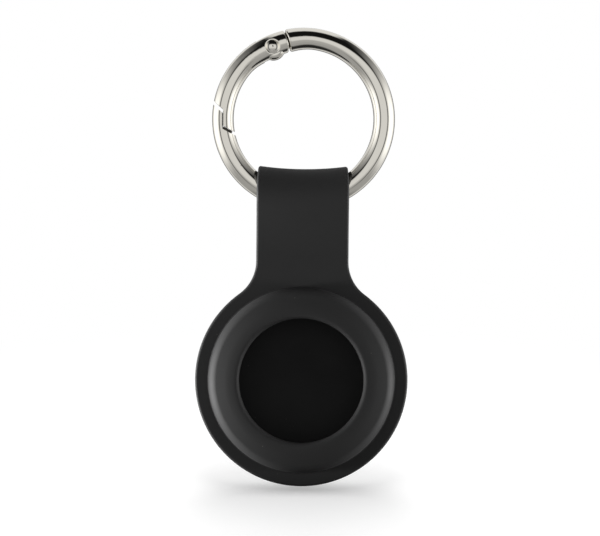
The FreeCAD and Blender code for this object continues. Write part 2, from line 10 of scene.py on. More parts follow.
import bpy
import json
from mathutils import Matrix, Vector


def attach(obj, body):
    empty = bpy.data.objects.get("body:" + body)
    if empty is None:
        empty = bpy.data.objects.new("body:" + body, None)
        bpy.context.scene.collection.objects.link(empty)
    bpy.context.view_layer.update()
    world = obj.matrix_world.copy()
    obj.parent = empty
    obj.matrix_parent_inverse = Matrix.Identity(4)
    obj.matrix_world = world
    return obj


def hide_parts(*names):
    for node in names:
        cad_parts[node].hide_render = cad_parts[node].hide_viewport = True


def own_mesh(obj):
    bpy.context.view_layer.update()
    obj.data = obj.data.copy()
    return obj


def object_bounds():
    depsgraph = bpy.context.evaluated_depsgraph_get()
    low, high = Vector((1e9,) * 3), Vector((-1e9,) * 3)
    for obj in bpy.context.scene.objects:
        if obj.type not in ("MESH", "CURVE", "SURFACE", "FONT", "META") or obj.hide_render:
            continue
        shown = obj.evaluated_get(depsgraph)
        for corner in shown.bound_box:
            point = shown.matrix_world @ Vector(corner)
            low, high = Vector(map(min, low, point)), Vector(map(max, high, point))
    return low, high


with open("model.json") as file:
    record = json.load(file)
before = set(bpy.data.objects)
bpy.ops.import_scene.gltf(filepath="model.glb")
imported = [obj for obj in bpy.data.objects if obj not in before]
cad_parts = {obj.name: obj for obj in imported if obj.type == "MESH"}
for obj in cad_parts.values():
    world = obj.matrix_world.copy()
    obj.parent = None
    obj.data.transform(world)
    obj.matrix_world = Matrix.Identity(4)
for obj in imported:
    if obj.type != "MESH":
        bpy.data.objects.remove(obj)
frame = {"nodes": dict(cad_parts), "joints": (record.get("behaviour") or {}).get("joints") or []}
cad_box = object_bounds()
print("the frame holds", sorted(frame["nodes"]))

# %% [markdown]
# Every new piece is made as by hand: some points, edges or faces are selected in edit mode, and an
# operator acts on them. A script has no mouse, so it selects by place.
# Blender merges and cuts badly near its rounding limit, so the pieces are drawn with one unit for
# a millimetre. Each finished piece is brought down to metres, and its place stays in its mesh.

# %% Helpers for work in edit mode
import math

import bmesh
import bpy
from mathutils import Matrix, Vector

MILLIMETRE = 0.001
CLOSE = 1e-3


def make_active(piece):
    """Select this piece and nothing else."""
    bpy.ops.object.select_all(action="DESELECT")
    piece.select_set(True)
    bpy.context.view_layer.objects.active = piece


def to_edit(piece):
    make_active(piece)
    bpy.ops.object.mode_set(mode="EDIT")


def to_object():
    bpy.ops.object.mode_set(mode="OBJECT")


def choose(piece, wanted, kind="VERT"):
    """In edit mode, select the vertices, edges or faces that wanted accepts, and nothing else."""
    bpy.ops.mesh.select_mode(type=kind)
    bpy.ops.mesh.select_all(action="DESELECT")
    mesh = bmesh.from_edit_mesh(piece.data)
    for item in {"VERT": mesh.verts, "EDGE": mesh.edges, "FACE": mesh.faces}[kind]:
        if wanted(item):
            item.select_set(True)
    mesh.select_flush_mode()
    bmesh.update_edit_mesh(piece.data)


def end_point():
    """The place of the one selected point, which is where a line has got to."""
    mesh = bmesh.from_edit_mesh(bpy.context.object.data)
    return next(v.co.copy() for v in mesh.verts if v.select)


# %% [markdown]
# A few sizes drive the whole holder. The tag's size gives the pocket and the flange round it. The
# ring's size gives the place of the strap's top, which hangs a little below the wire.
# The neck is an arc that touches both the strap's side and the flange. Its centre could be found by
# trial, but two right-angled triangles give it exactly.

# %% Sizes of the strap, the neck and the disc
TAG_RADIUS = 15.95
TAG_CLEARANCE = 0.15
POCKET_WALL = 1.1
FLANGE_WIDTH = 2.55
DISC_DROP = 48.5
WEB_HALF = 1.6
RING_INNER = 13.0
HANG_CLEARANCE = 0.15
EDGE_ROUND = 0.45
STRAP_TOP_HALF = 8.55
STRAP_TAPER = math.radians(0.1)
STRAP_FLAT = 1.0
NECK_ROUND = 7.5


def leg(long_side, short_side):
    """The third side of a right-angled triangle."""
    return math.sqrt(long_side ** 2 - short_side ** 2)


pocket_radius = TAG_RADIUS + TAG_CLEARANCE
dome_radius = pocket_radius + POCKET_WALL
flange_radius = dome_radius + FLANGE_WIDTH
mouth_drop = EDGE_ROUND + leg(RING_INNER - EDGE_ROUND - HANG_CLEARANCE, STRAP_TOP_HALF - EDGE_ROUND)

side_out = Vector((math.cos(STRAP_TAPER), 0, math.sin(STRAP_TAPER)))
side_up = Vector((-math.sin(STRAP_TAPER), 0, math.cos(STRAP_TAPER)))
strap_top = Vector((STRAP_TOP_HALF, -WEB_HALF, -mouth_drop))
disc_centre = Vector((0, -WEB_HALF, -DISC_DROP))
neck_out = (strap_top - disc_centre).dot(side_out) + NECK_ROUND
neck_up = leg(flange_radius + NECK_ROUND, neck_out)
neck_centre = disc_centre + side_out * neck_out + side_up * neck_up
neck_start = neck_centre - side_out * NECK_ROUND
neck_end = neck_centre + (disc_centre - neck_centre).normalized() * NECK_ROUND
neck_sweep = (neck_end - neck_centre).angle(neck_start - neck_centre)
flank_drop = -neck_start.z - STRAP_FLAT
print("the neck runs from", neck_start, "to", neck_end)

# %% [markdown]
# The web is the flat sheet that makes the flange and the strap. A curve could be filled, but its
# mesh is hard to join to the pocket. So a quarter of the web is drawn point by point: a circle
# whose upper part is cut away, then the neck by spin and the strap by extrude.
# Two mirrors will give the whole.

# %% Outline of the web
ROUND_STEPS = 128
NECK_STEPS = 14
STRAP_COLUMNS = 12
UPRIGHT = (math.pi / 2, 0, 0)
Y_AXIS = (0, 1, 0)


def spin(steps, angle, centre, axis):
    """Draw the selected points or edges on round an axis, anticlockwise as seen against it."""
    bpy.ops.mesh.spin(steps=steps, angle=-angle, center=centre, axis=axis)


def extrude(way):
    bpy.ops.mesh.extrude_region_move(TRANSFORM_OT_translate={"value": way})


def strap_half(height):
    """Half the strap's width at a height, in the tapered part."""
    return STRAP_TOP_HALF - (height + mouth_drop) * math.tan(STRAP_TAPER)


def on_flank_line(edge):
    return all(abs(v.co.z + flank_drop) < CLOSE for v in edge.verts)


bpy.ops.object.select_all(action="DESELECT")
bpy.ops.mesh.primitive_circle_add(
    vertices=ROUND_STEPS, radius=flange_radius, rotation=UPRIGHT, location=disc_centre,
)
holder = bpy.context.object
bpy.ops.object.transform_apply(location=True, rotation=True, scale=True)
to_edit(holder)
choose(holder, lambda v: v.co.x < -CLOSE or v.co.z > neck_end.z - CLOSE)
bpy.ops.mesh.delete(type="VERT")
choose(holder, lambda v: v.co.x > CLOSE and len(v.link_edges) == 1)
extrude(neck_end - end_point())
spin(NECK_STEPS, neck_sweep, neck_centre, Y_AXIS)
print("the neck ends", (end_point() - neck_start).length, "mm from the strap")
strap_corner = Vector((strap_half(-flank_drop), -WEB_HALF, -flank_drop))
extrude(strap_corner - end_point())
extrude((-strap_corner.x, 0, 0))
choose(holder, on_flank_line, "EDGE")
bpy.ops.mesh.subdivide(number_cuts=STRAP_COLUMNS - 1)

# %% [markdown]
# The pocket will stand on a round opening in the web. The opening could be cut later, but a cut
# leaves long thin faces. Drawn now, its edge has as many points as the pocket will have steps, so
# the two can be welded point to point. Fill then closes the flat face between the outline, the
# opening and the middle line.

# %% Opening for the pocket, and the flat face
CREASE_ROUND = 0.3
crease_radius = dome_radius + CREASE_ROUND

bpy.ops.mesh.primitive_circle_add(
    vertices=ROUND_STEPS, radius=crease_radius, rotation=UPRIGHT, location=disc_centre,
)
choose(holder, lambda v: v.co.x < -CLOSE)
bpy.ops.mesh.delete(type="VERT")
below = (-DISC_DROP - flange_radius, -DISC_DROP - crease_radius)
above = (-DISC_DROP + crease_radius, -flank_drop)
for ends in (below, above):
    choose(holder, lambda v: abs(v.co.x) < CLOSE and min(abs(v.co.z - z) for z in ends) < CLOSE)
    bpy.ops.mesh.edge_face_add()
bpy.ops.mesh.select_all(action="SELECT")
bpy.ops.mesh.fill(use_beauty=True)
print("the flat face has", len(bmesh.from_edit_mesh(holder.data).faces), "triangles")

# %% [markdown]
# The strap folds over the ring's wire in an eye. On the real one the mould gives its shape: a
# hollow flank, and then a round that runs up to the middle plane. Both are arcs, so the strap's top
# edge is spun twice, which keeps the mesh in even rows.
# The eye hangs on a round wire, so it is bowed: its corners stand higher than its middle. Moving
# each point by a rule bows and tapers it at once.

# %% Skin of the eye
FLANK_STEPS = 8
EYE_STEPS = 22
TUNNEL_RADIUS = 3.85
EYE_WALL = 1.1
LOOP_SAG = 0.56
X_AXIS = (1, 0, 0)

eye_radius = TUNNEL_RADIUS + EYE_WALL
ceiling_drop = mouth_drop + LOOP_SAG
eye_drop = ceiling_drop + TUNNEL_RADIUS
bow_height = (STRAP_TOP_HALF ** 2 + LOOP_SAG ** 2) / (2 * LOOP_SAG) - ceiling_drop
flank_rise = flank_drop - eye_drop
flank_radius = (flank_rise ** 2 / (eye_radius - WEB_HALF) - eye_radius - WEB_HALF) / 2
flank_sweep = math.atan2(flank_rise, flank_radius + WEB_HALF)
eye_sweep = flank_sweep + math.pi / 2


def move_points(piece, moved):
    """In edit mode, give each vertex the place that moved works out for it."""
    mesh = bmesh.from_edit_mesh(piece.data)
    for vertex in mesh.verts:
        vertex.co = moved(vertex.co.copy())
    bmesh.update_edit_mesh(piece.data)


def tapered_and_bowed(point):
    if point.z < -flank_drop - CLOSE:
        return point
    reach = bow_height - point.z
    across = point.x * strap_half(point.z) / strap_half(-flank_drop)
    return Vector((across, point.y, bow_height - leg(reach, across)))


choose(holder, on_flank_line, "EDGE")
spin(FLANK_STEPS, flank_sweep, (0, -WEB_HALF - flank_radius, -flank_drop), X_AXIS)
spin(EYE_STEPS, -eye_sweep, (0, 0, -eye_drop), X_AXIS)
move_points(holder, tapered_and_bowed)
corner_height = max(v.co.z for v in bmesh.from_edit_mesh(holder.data).verts)
print("the eye's corners stand at", round(corner_height, 2), "mm")

# %% [markdown]
# The rim is the narrow side of the moulding, all round the web. It goes straight back from the
# outline to the middle plane, so its edges are extruded and flattened on that plane.
# The holder is alike on both sides and, but for the window, on both faces, so two mirrors turn the
# quarter into the whole, and merge the points where the quarters meet.

# %% Rim and mirrors


def on_opening(vertex):
    return abs(math.hypot(vertex.co.x, vertex.co.z + DISC_DROP) - crease_radius) < CLOSE


def is_rim_edge(edge):
    on_middle_line = all(abs(v.co.x) < CLOSE for v in edge.verts)
    on_middle_plane = all(abs(v.co.y) < CLOSE for v in edge.verts)
    on_pocket = all(on_opening(v) for v in edge.verts)
    return edge.is_boundary and not (on_middle_line or on_middle_plane or on_pocket)


def weld(distance=CLOSE):
    """In edit mode, merge points that lie together and turn all faces outwards."""
    bpy.ops.mesh.select_mode(type="VERT")
    bpy.ops.mesh.select_all(action="SELECT")
    bpy.ops.mesh.remove_doubles(threshold=distance)
    bpy.ops.mesh.normals_make_consistent(inside=False)


def apply_modifier(piece, kind, **settings):
    make_active(piece)
    modifier = piece.modifiers.new(kind.title(), kind)
    for name, value in settings.items():
        setattr(modifier, name, value)
    bpy.ops.object.modifier_apply(modifier=modifier.name)


choose(holder, is_rim_edge, "EDGE")
bpy.ops.mesh.extrude_edges_move()
mesh = bmesh.from_edit_mesh(holder.data)
for vertex in mesh.verts:
    if vertex.select:
        vertex.co.y = 0
bmesh.update_edit_mesh(holder.data)
weld()
to_object()
apply_modifier(
    holder, "MIRROR", use_axis=(True, True, False), use_mirror_merge=True, merge_threshold=CLOSE,
)
print("the web has", len(holder.data.polygons), "faces")

# %% [markdown]
# The pocket is a body of revolution: a thin wall with rounded shoulders. A cylinder with bevels
# would come close, but here a section is drawn and spun, because every round then has its own
# radius. The helpers go on from the point reached so far: line goes straight, and arc goes round a
# centre.

# %% Helpers for a section
ARC_STEP = math.radians(11)


def start_section(depth, radius):
    """A mesh of one point in the middle plane, from which a section is drawn."""
    bpy.ops.object.select_all(action="DESELECT")
    bpy.ops.mesh.primitive_plane_add(size=1, location=(0, depth, radius - DISC_DROP))
    section = bpy.context.object
    bpy.ops.object.transform_apply(location=True, rotation=True, scale=True)
    to_edit(section)
    bpy.ops.mesh.select_all(action="SELECT")
    bpy.ops.mesh.merge(type="CENTER")
    return section


def line(depth, radius):
    """Go straight on, by so much in depth and in radius."""
    extrude((0, depth, radius))


def arc(centre_depth, centre_radius, degrees):
    """Go round a centre that is given from the point reached so far."""
    angle = math.radians(degrees)
    steps = max(2, round(abs(angle) / ARC_STEP))
    spin(steps, angle, end_point() + Vector((0, centre_depth, centre_radius)), X_AXIS)


def reached():
    end = end_point()
    return "depth %.3f, radius %.3f" % (end.y, end.z + DISC_DROP)


def turn_section():
    """Spin a section all round the pocket's axis, and weld it where it closes."""
    bpy.ops.mesh.select_all(action="SELECT")
    spin(ROUND_STEPS, 2 * math.pi, (0, 0, -DISC_DROP), Y_AXIS)
    weld()
    to_object()


# %% [markdown]
# The front of the pocket rises from a small crease at the flange, goes over the shoulder and a
# slow crown to the window, round its lip, and on inside to the middle of the floor. The tag is
# pressed in past the lip, which is why the lip is rounded on both sides.
# The crown is an arc that touches the shoulder and the flat face, so its sweep follows from the
# three radii.

# %% Front of the pocket
TAG_HALF = 4.0
SKIN = 1.35
SHOULDER_ROUND = 2.4
CROWN_ROUND = 8.0
CROWN_START = 12.6
LIP_ROUND = 0.8
LIP_INNER_ROUND = 0.3
WINDOW_RADIUS = 11.5
POCKET_ROUND = 1.0

pocket_half = TAG_HALF + TAG_CLEARANCE
face_depth = pocket_half + SKIN
crown_excess = CROWN_ROUND - SHOULDER_ROUND
crown_sweep = math.asin((dome_radius - SHOULDER_ROUND - CROWN_START) / crown_excess)
shoulder_depth = face_depth - CROWN_ROUND + crown_excess * math.cos(crown_sweep)


def over_the_shoulder(side):
    """From the crease at the flange to the start of the flat face. Side is -1 in front, 1 behind."""
    arc(side * CREASE_ROUND, 0, side * 90)
    line(side * (shoulder_depth - WEB_HALF - CREASE_ROUND), 0)
    arc(0, -SHOULDER_ROUND, side * (math.degrees(crown_sweep) - 90))
    crown_centre = -side * CROWN_ROUND * math.cos(crown_sweep), -CROWN_ROUND * math.sin(crown_sweep)
    arc(*crown_centre, -side * math.degrees(crown_sweep))
    print("the crown ends at", reached())


front = start_section(-WEB_HALF, crease_radius)
over_the_shoulder(-1)
line(0, WINDOW_RADIUS + LIP_ROUND - CROWN_START)
arc(LIP_ROUND, 0, 90)
line(face_depth - LIP_ROUND - pocket_half - LIP_INNER_ROUND, 0)
arc(0, LIP_INNER_ROUND, 90)
line(0, pocket_radius - POCKET_ROUND - WINDOW_RADIUS - LIP_INNER_ROUND)
arc(POCKET_ROUND, 0, -90)
line(2 * (pocket_half - POCKET_ROUND), 0)
arc(0, -POCKET_ROUND, -90)
print("the pocket's floor starts at", reached())
line(0, POCKET_ROUND - pocket_radius)
turn_section()

# %% [markdown]
# The back is closed. It could be a mirror of the front with the window filled, but it needs no
# inside, so it is a short section of its own over the same shoulder, to the middle.

# %% Back of the pocket
back = start_section(WEB_HALF, crease_radius)
over_the_shoulder(1)
line(0, -CROWN_START)
turn_section()

# %% [markdown]
# A moulding is one piece, so its mesh is one closed skin. A remesh would close it too, but it would
# blur the crease and the lip. Here the web and the two sections already share their points round
# the opening, and a weld is enough. The many flat faces on each side of the strap become one, so
# that the later bevel finds only real edges.

# %% One skin
SIDEWAYS = 0.99

bpy.ops.object.select_all(action="DESELECT")
for piece in (front, back, holder):
    piece.select_set(True)
bpy.context.view_layer.objects.active = holder
bpy.ops.object.join()
to_edit(holder)
weld()


def on_strap_side(face, side):
    middle = face.calc_center_median()
    return abs(face.normal.x) > SIDEWAYS and middle.z > neck_start.z and middle.y * side > 0


for side in (-1, 1):
    choose(holder, lambda f: on_strap_side(f, side), "FACE")
    bpy.ops.mesh.dissolve_faces()
to_object()
print("the skin has", len(holder.data.polygons), "faces")

# %% [markdown]
# The tunnel of the eye lets the ring through. It follows the bow, so a straight drill would leave
# the wall thick in the middle and thin at the ends. A slim part of a large torus cuts it instead.
# The cut leaves stray points on the mouths, with only two edges each and not the same ones in every
# run, so they are taken out. A bevel then rounds what is still sharp: the rim, and the mouths.

# %% Tunnel and rounded edges
TUNNEL_STEPS = 240
TUNNEL_SIDES = 64
SHARP = math.radians(50)

bpy.ops.object.select_all(action="DESELECT")
bpy.ops.mesh.primitive_torus_add(
    major_radius=bow_height + eye_drop, minor_radius=TUNNEL_RADIUS, major_segments=TUNNEL_STEPS,
    minor_segments=TUNNEL_SIDES, location=(0, 0, bow_height), rotation=UPRIGHT,
)
tunnel = bpy.context.object
apply_modifier(holder, "BOOLEAN", operation="DIFFERENCE", solver="EXACT", object=tunnel)
bpy.data.objects.remove(tunnel)
to_edit(holder)
choose(holder, lambda v: len(v.link_edges) == 2)
bpy.ops.mesh.dissolve_verts()
to_object()
apply_modifier(
    holder, "BEVEL", width=EDGE_ROUND, segments=4, limit_method="ANGLE",
    angle_limit=SHARP, use_clamp_overlap=False,
)
print("with its tunnel and rounds the skin has", len(holder.data.polygons), "faces")

# %% [markdown]
# A soft band narrows a little where it is folded over a wire. Proportional editing would do it by
# hand. In code a rule is clearer: the width shrinks with the square of the height above a
# line. After that the skin is smooth shaded, with normals weighted by area, so that flats stay flat.

# %% Drawn-in top, and the finished holder
PINCH_START = -13.2
PINCH_HEIGHT = 4.4
PINCH_SHARE = 0.033
FLAT_WEIGHT = 60


def drawn_in(point):
    rise = max(0, point.z - PINCH_START) / PINCH_HEIGHT
    return Vector((point.x * (1 - PINCH_SHARE * rise ** 2), point.y, point.z))


def open_edges(piece):
    mesh = bmesh.from_edit_mesh(piece.data)
    return sum(len(e.link_faces) != 2 for e in mesh.edges)


def finish_piece(piece, name, body):
    """Bring a piece from millimetres to metres, name it, and tie it to its CAD body."""
    make_active(piece)
    piece.scale = (MILLIMETRE,) * 3
    bpy.ops.object.transform_apply(location=True, rotation=True, scale=True)
    piece.name = name
    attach(piece, body)
    print(name, "has", len(piece.data.polygons), "faces")


to_edit(holder)
weld()
move_points(holder, drawn_in)
print("open edges of the holder", open_edges(holder))
to_object()
bpy.ops.object.shade_smooth()
apply_modifier(holder, "WEIGHTED_NORMAL", keep_sharp=False, weight=FLAT_WEIGHT)
finish_piece(holder, "silicone_holder", "holder")
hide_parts("holder_body")

# %% [markdown]
# A small dark piece stands on the frame between the two lower slants of the latch, where the gate's
# tip closes. It is painted shade: it fills the view through that gap, so that the gap looks dark. A box
# would do for the eye, but both slants are arcs about the rivet, so the piece is an arc too: a small
# section is spun about the rivet, and the gate swings past it with an even gap. The frame says where the
# rivet is.

# %% Dark piece in the latch, as painted shade
# These sizes shape the dark piece that is painted shade in the latch's gap.
WIRE_RADIUS = 2.0
LATCH_BOTTOM = 1.65
SLANT_GAP = 0.58
SEAT_CLEAR = 0.09
SEAT_ROOT = 0.10
SEAT_HALF = 1.25
SEAT_START, SEAT_END = -15.0, -13.35
SEAT_STEPS = 6
SEAT_EDGE = 0.06

hinge = next(joint for joint in frame["joints"] if joint["name"] == "gate_hinge")
pivot = Vector(hinge["pos_m"]) / MILLIMETRE
ring_radius = RING_INNER + WIRE_RADIUS
slant_reach = (Vector((-ring_radius, 0, -LATCH_BOTTOM)) - pivot).length
seat_inner = slant_reach - SLANT_GAP / 2 + SEAT_CLEAR
seat_outer = slant_reach + SLANT_GAP / 2 + SEAT_ROOT
seat_middle = (seat_inner + seat_outer) / 2
start_angle, end_angle = (math.asin((x - pivot.x) / seat_middle) for x in (SEAT_START, SEAT_END))

bpy.ops.object.select_all(action="DESELECT")
bpy.ops.mesh.primitive_plane_add(size=1, location=(0, 0, -seat_middle), rotation=(0, math.pi / 2, 0))
shade_piece = bpy.context.object
shade_piece.scale = (seat_outer - seat_inner, 2 * SEAT_HALF, 1)
bpy.ops.object.transform_apply(location=True, rotation=True, scale=True)
shade_piece.rotation_euler = (0, -start_angle, 0)
shade_piece.location = pivot
bpy.ops.object.transform_apply(location=True, rotation=True, scale=True)
to_edit(shade_piece)
bpy.ops.mesh.select_all(action="SELECT")
spin(SEAT_STEPS, start_angle - end_angle, pivot, Y_AXIS)
choose(shade_piece, lambda e: e.is_boundary, "EDGE")
bpy.ops.mesh.edge_face_add()
weld()
print("open edges of the seat", open_edges(shade_piece))
to_object()
apply_modifier(shade_piece, "BEVEL", width=SEAT_EDGE, segments=2, limit_method="ANGLE", angle_limit=SHARP)
# The dark piece, painted shade, is tied to the ring.
finish_piece(shade_piece, "latch_seat", "ring")

# %% [markdown]
# No real finish is one flat colour. The finishes below are made of nodes, and these helpers keep
# them short: a node takes numbers, colours or other nodes' sockets by the names of its inputs.
# Small sums make masks, which say where on a surface something is: 0 is not there, and 1 is there.

# %% Helpers for nodes


def add_node(tree, kind, **values):
    """A node whose inputs and settings are given by name. An input may be linked to a socket."""
    node = tree.nodes.new(kind)
    inputs = {socket.name.lower().replace(" ", "_"): socket for socket in list(node.inputs)[::-1]}
    for name, value in values.items():
        if name in inputs:
            feed(tree, inputs[name], value)
        else:
            setattr(node, name, value)
    return node


def feed(tree, socket, value):
    if isinstance(value, bpy.types.NodeSocket):
        tree.links.new(value, socket)
    else:
        socket.default_value = value


def number(tree, operation, *values):
    """A sum on one or two values."""
    node = add_node(tree, "ShaderNodeMath", operation=operation)
    for socket, value in zip(node.inputs, values):
        feed(tree, socket, value)
    return node.outputs["Value"]


def product(tree, first, *others):
    for other in others:
        first = number(tree, "MULTIPLY", first, other)
    return first


def length(tree, one, other):
    """How far a point is, from its distances in two directions."""
    squares = product(tree, one, one), product(tree, other, other)
    return number(tree, "SQRT", number(tree, "ADD", *squares))


def ramp(tree, value, start, finish):
    """A mask that is 0 at start, 1 at finish, and rises smoothly between."""
    node = add_node(
        tree, "ShaderNodeMapRange", interpolation_type="SMOOTHSTEP",
        value=value, from_min=start, from_max=finish,
    )
    return node.outputs["Result"]


def layer(tree, below, above, mask):
    """One number where the mask is 0, and another over it where the mask is 1."""
    node = add_node(tree, "ShaderNodeMix", data_type="FLOAT", factor=mask, a=below, b=above)
    return node.outputs["Result"]


# %% [markdown]
# Three effects come back in more than one finish, so each is a node group with its own inputs.
# Blotches are broad patches where a surface was touched or cooled unevenly: a noise, spread
# between a low and a high value.

# %% Blotches


def new_group(name, inputs, output):
    """An empty node group with number inputs and one output, and the nodes that stand for them."""
    group = bpy.data.node_groups.new(name, "ShaderNodeTree")
    group.interface.new_socket("Place", in_out="INPUT", socket_type="NodeSocketVector")
    for socket, value in inputs.items():
        made = group.interface.new_socket(socket, in_out="INPUT", socket_type="NodeSocketFloat")
        made.default_value = value
    group.interface.new_socket(output, in_out="OUTPUT", socket_type="NodeSocketFloat")
    print("effect", name, "with inputs", ["Place", *inputs])
    return group, add_node(group, "NodeGroupInput").outputs, add_node(group, "NodeGroupOutput").inputs


blotches, given, result = new_group("blotches", {"Scale": 200.0, "Low": 0.0, "High": 1.0}, "Value")
noise = add_node(
    blotches, "ShaderNodeTexNoise", vector=given["Place"], scale=given["Scale"],
    detail=4.0, roughness=0.55,
)
spread = add_node(
    blotches, "ShaderNodeMapRange", value=noise.outputs["Fac"], from_min=0.3, from_max=0.7,
    to_min=given["Low"], to_max=given["High"],
)
feed(blotches, result["Value"], spread.outputs["Result"])

# %% [markdown]
# Scratches are what polishing or drawing leaves: fine lines in one direction. They could be drawn
# as lines, but a noise that is squeezed along one axis looks the same and never repeats.

# %% Scratches
scratches, given, result = new_group("scratches", {"Scale": 1500.0, "Stretch": 0.05}, "Height")
shrink = add_node(scratches, "ShaderNodeCombineXYZ", x=1.0, y=given["Stretch"], z=1.0)
stretched = add_node(scratches, "ShaderNodeVectorMath", operation="MULTIPLY")
feed(scratches, stretched.inputs[0], given["Place"])
feed(scratches, stretched.inputs[1], shrink.outputs["Vector"])
noise = add_node(
    scratches, "ShaderNodeTexNoise", vector=stretched.outputs["Vector"], scale=given["Scale"],
    detail=6.0, roughness=0.7,
)
feed(scratches, result["Height"], noise.outputs["Fac"])

# %% [markdown]
# Specks are dust on silicone and pinholes in plating: small round spots, far apart. A cell pattern
# gives one spot to each cell, and the cell's chance colour picks the few that are kept.

# %% Specks
specks, given, result = new_group("specks", {"Scale": 900.0, "Size": 0.1, "Share": 0.2}, "Mask")
cells = add_node(specks, "ShaderNodeTexVoronoi", vector=given["Place"], scale=given["Scale"])
chance = add_node(specks, "ShaderNodeSeparateColor", color=cells.outputs["Color"]).outputs["Red"]
inside = number(specks, "LESS_THAN", cells.outputs["Distance"], given["Size"])
kept = number(specks, "LESS_THAN", chance, given["Share"])
feed(specks, result["Mask"], product(specks, inside, kept))

# %% [markdown]
# Black silicone comes out of its mould with a satin skin. One black would look like a hole in the
# picture. So the skin is a little duller where it was handled, has a very fine grain, and
# holds specks of dust. A low specular level keeps it rubbery.

# %% Silicone


def new_finish(name, **values):
    """A material with a Principled shader, and the object coordinates that its patterns read."""
    material = bpy.data.materials.new(name)
    material.use_nodes = True
    tree = material.node_tree
    tree.nodes.clear()
    shader = add_node(tree, "ShaderNodeBsdfPrincipled", **values)
    add_node(tree, "ShaderNodeOutputMaterial", surface=shader.outputs["BSDF"])
    print("finish", name)
    return material, tree, shader.inputs, add_node(tree, "ShaderNodeTexCoord").outputs["Object"]


def use_group(tree, group, place, **values):
    node = add_node(tree, "ShaderNodeGroup", node_tree=group)
    feed(tree, node.inputs["Place"], place)
    for name, value in values.items():
        node.inputs[name.title()].default_value = value
    return node.outputs[0]


def blend_colour(tree, mask, base, other):
    """One colour where the mask is 0 and another where it is 1. A colour may also be a socket."""
    mix = add_node(tree, "ShaderNodeMix", data_type="RGBA", factor=mask)
    sockets = (socket for socket in mix.inputs if socket.type == "RGBA")
    for socket, colour in zip(sockets, (base, other)):
        feed(tree, socket, (*colour, 1) if isinstance(colour, tuple) else colour)
    return next(socket for socket in mix.outputs if socket.type == "RGBA")


def bump(tree, height, distance, strength):
    node = add_node(tree, "ShaderNodeBump", height=height, distance=distance, strength=strength)
    return node.outputs["Normal"]


BLACK, DUST = (0.0140, 0.0140, 0.0141), (0.040, 0.039, 0.036)

silicone, tree, surface, place = new_finish("satin_silicone", ior=1.41, specular_ior_level=0.21)
feed(tree, surface["Roughness"], use_group(tree, blotches, place, scale=140.0, low=0.62, high=0.70))
dust = use_group(tree, specks, place, scale=700.0, size=0.07, share=0.10)
feed(tree, surface["Base Color"], blend_colour(tree, dust, BLACK, DUST))
grain = add_node(tree, "ShaderNodeTexNoise", vector=place, scale=5200.0, detail=3.0)
feed(tree, surface["Normal"], bump(tree, grain.outputs["Fac"], distance=0.00001, strength=0.25))

# %% [markdown]
# The ring is die-cast and bright nickel plated. Nickel is a warm silver, a shade yellower than
# chrome. Polishing leaves hair-fine scratches, and casting leaves a few pinholes.
# The faces deep inside the wire, in the latch and the hinge, are painted dark, dull and not metallic,
# as painted shade in the gaps between the parts. They could have a material of their own, but a mask
# does it without new faces: it is the distance from the middle of the wire. The edges that snap past
# each other at the latch's step are painted dark in the same way, as painted shade along the step.

# %% Nickel
# The first two colours are the nickel's own. The third colour, and the sizes and roughness under it, are
# painted shade for the gaps.
PLATED, PINHOLE, GAP_SHADE_COLOUR = (0.78, 0.755, 0.69), (0.30, 0.28, 0.24), (0.030, 0.027, 0.023)
GAP_SHADE_ROUGHNESS = 1.0
GAP_SHADE_DEPTH = (1.75 * MILLIMETRE, 1.60 * MILLIMETRE)
STEP_SHADE_WIDTH = (0.16 * MILLIMETRE, 0.09 * MILLIMETRE)
STEP_SHADE_LENGTH = (1.55 * MILLIMETRE, 1.40 * MILLIMETRE)
STEP_DROP = 0.15 * MILLIMETRE

nickel, tree, surface, place = new_finish("bright_nickel")
x, y, z = add_node(tree, "ShaderNodeSeparateXYZ", vector=place).outputs
outward = number(tree, "SUBTRACT", length(tree, x, z), ring_radius * MILLIMETRE)
# Painted shade: faces close to the middle of the wire, in the latch and hinge gaps, get a dark dull
# colour.
gap_shade = ramp(tree, length(tree, outward, y), *GAP_SHADE_DEPTH)
# Painted shade along the latch's step, so that the step's line shows dark.
beside_step = number(tree, "ABSOLUTE", number(tree, "ADD", x, ring_radius * MILLIMETRE))
along_step = number(tree, "ABSOLUTE", number(tree, "ADD", z, STEP_DROP))
step_shade = product(tree, ramp(tree, beside_step, *STEP_SHADE_WIDTH), ramp(tree, along_step, *STEP_SHADE_LENGTH))
painted_shade = number(tree, "MAXIMUM", gap_shade, step_shade)

touched = use_group(tree, blotches, place, scale=260.0, low=0.03, high=0.07)
pinholes = use_group(tree, specks, place, scale=520.0, size=0.05, share=0.08)
hair = use_group(tree, scratches, place, scale=2600.0, stretch=0.3)
plating = blend_colour(tree, pinholes, PLATED, PINHOLE)
# The painted shade covers the plating here, and takes away the metal and the gloss.
feed(tree, surface["Base Color"], blend_colour(tree, painted_shade, plating, GAP_SHADE_COLOUR))
feed(tree, surface["Metallic"], number(tree, "SUBTRACT", 1.0, painted_shade))
feed(tree, surface["Roughness"], layer(tree, touched, GAP_SHADE_ROUGHNESS, painted_shade))
feed(tree, surface["Normal"], bump(tree, hair, distance=0.000004, strength=0.04))

# %% [markdown]
# The plunger and the coil inside the gate are plain spring steel, drawn through a die and left
# dull, with a film of oil. The drawing marks are the scratches again, only finer and deeper.

# %% Spring steel
CLEAN, STAINED = (0.52, 0.52, 0.53), (0.38, 0.36, 0.33)

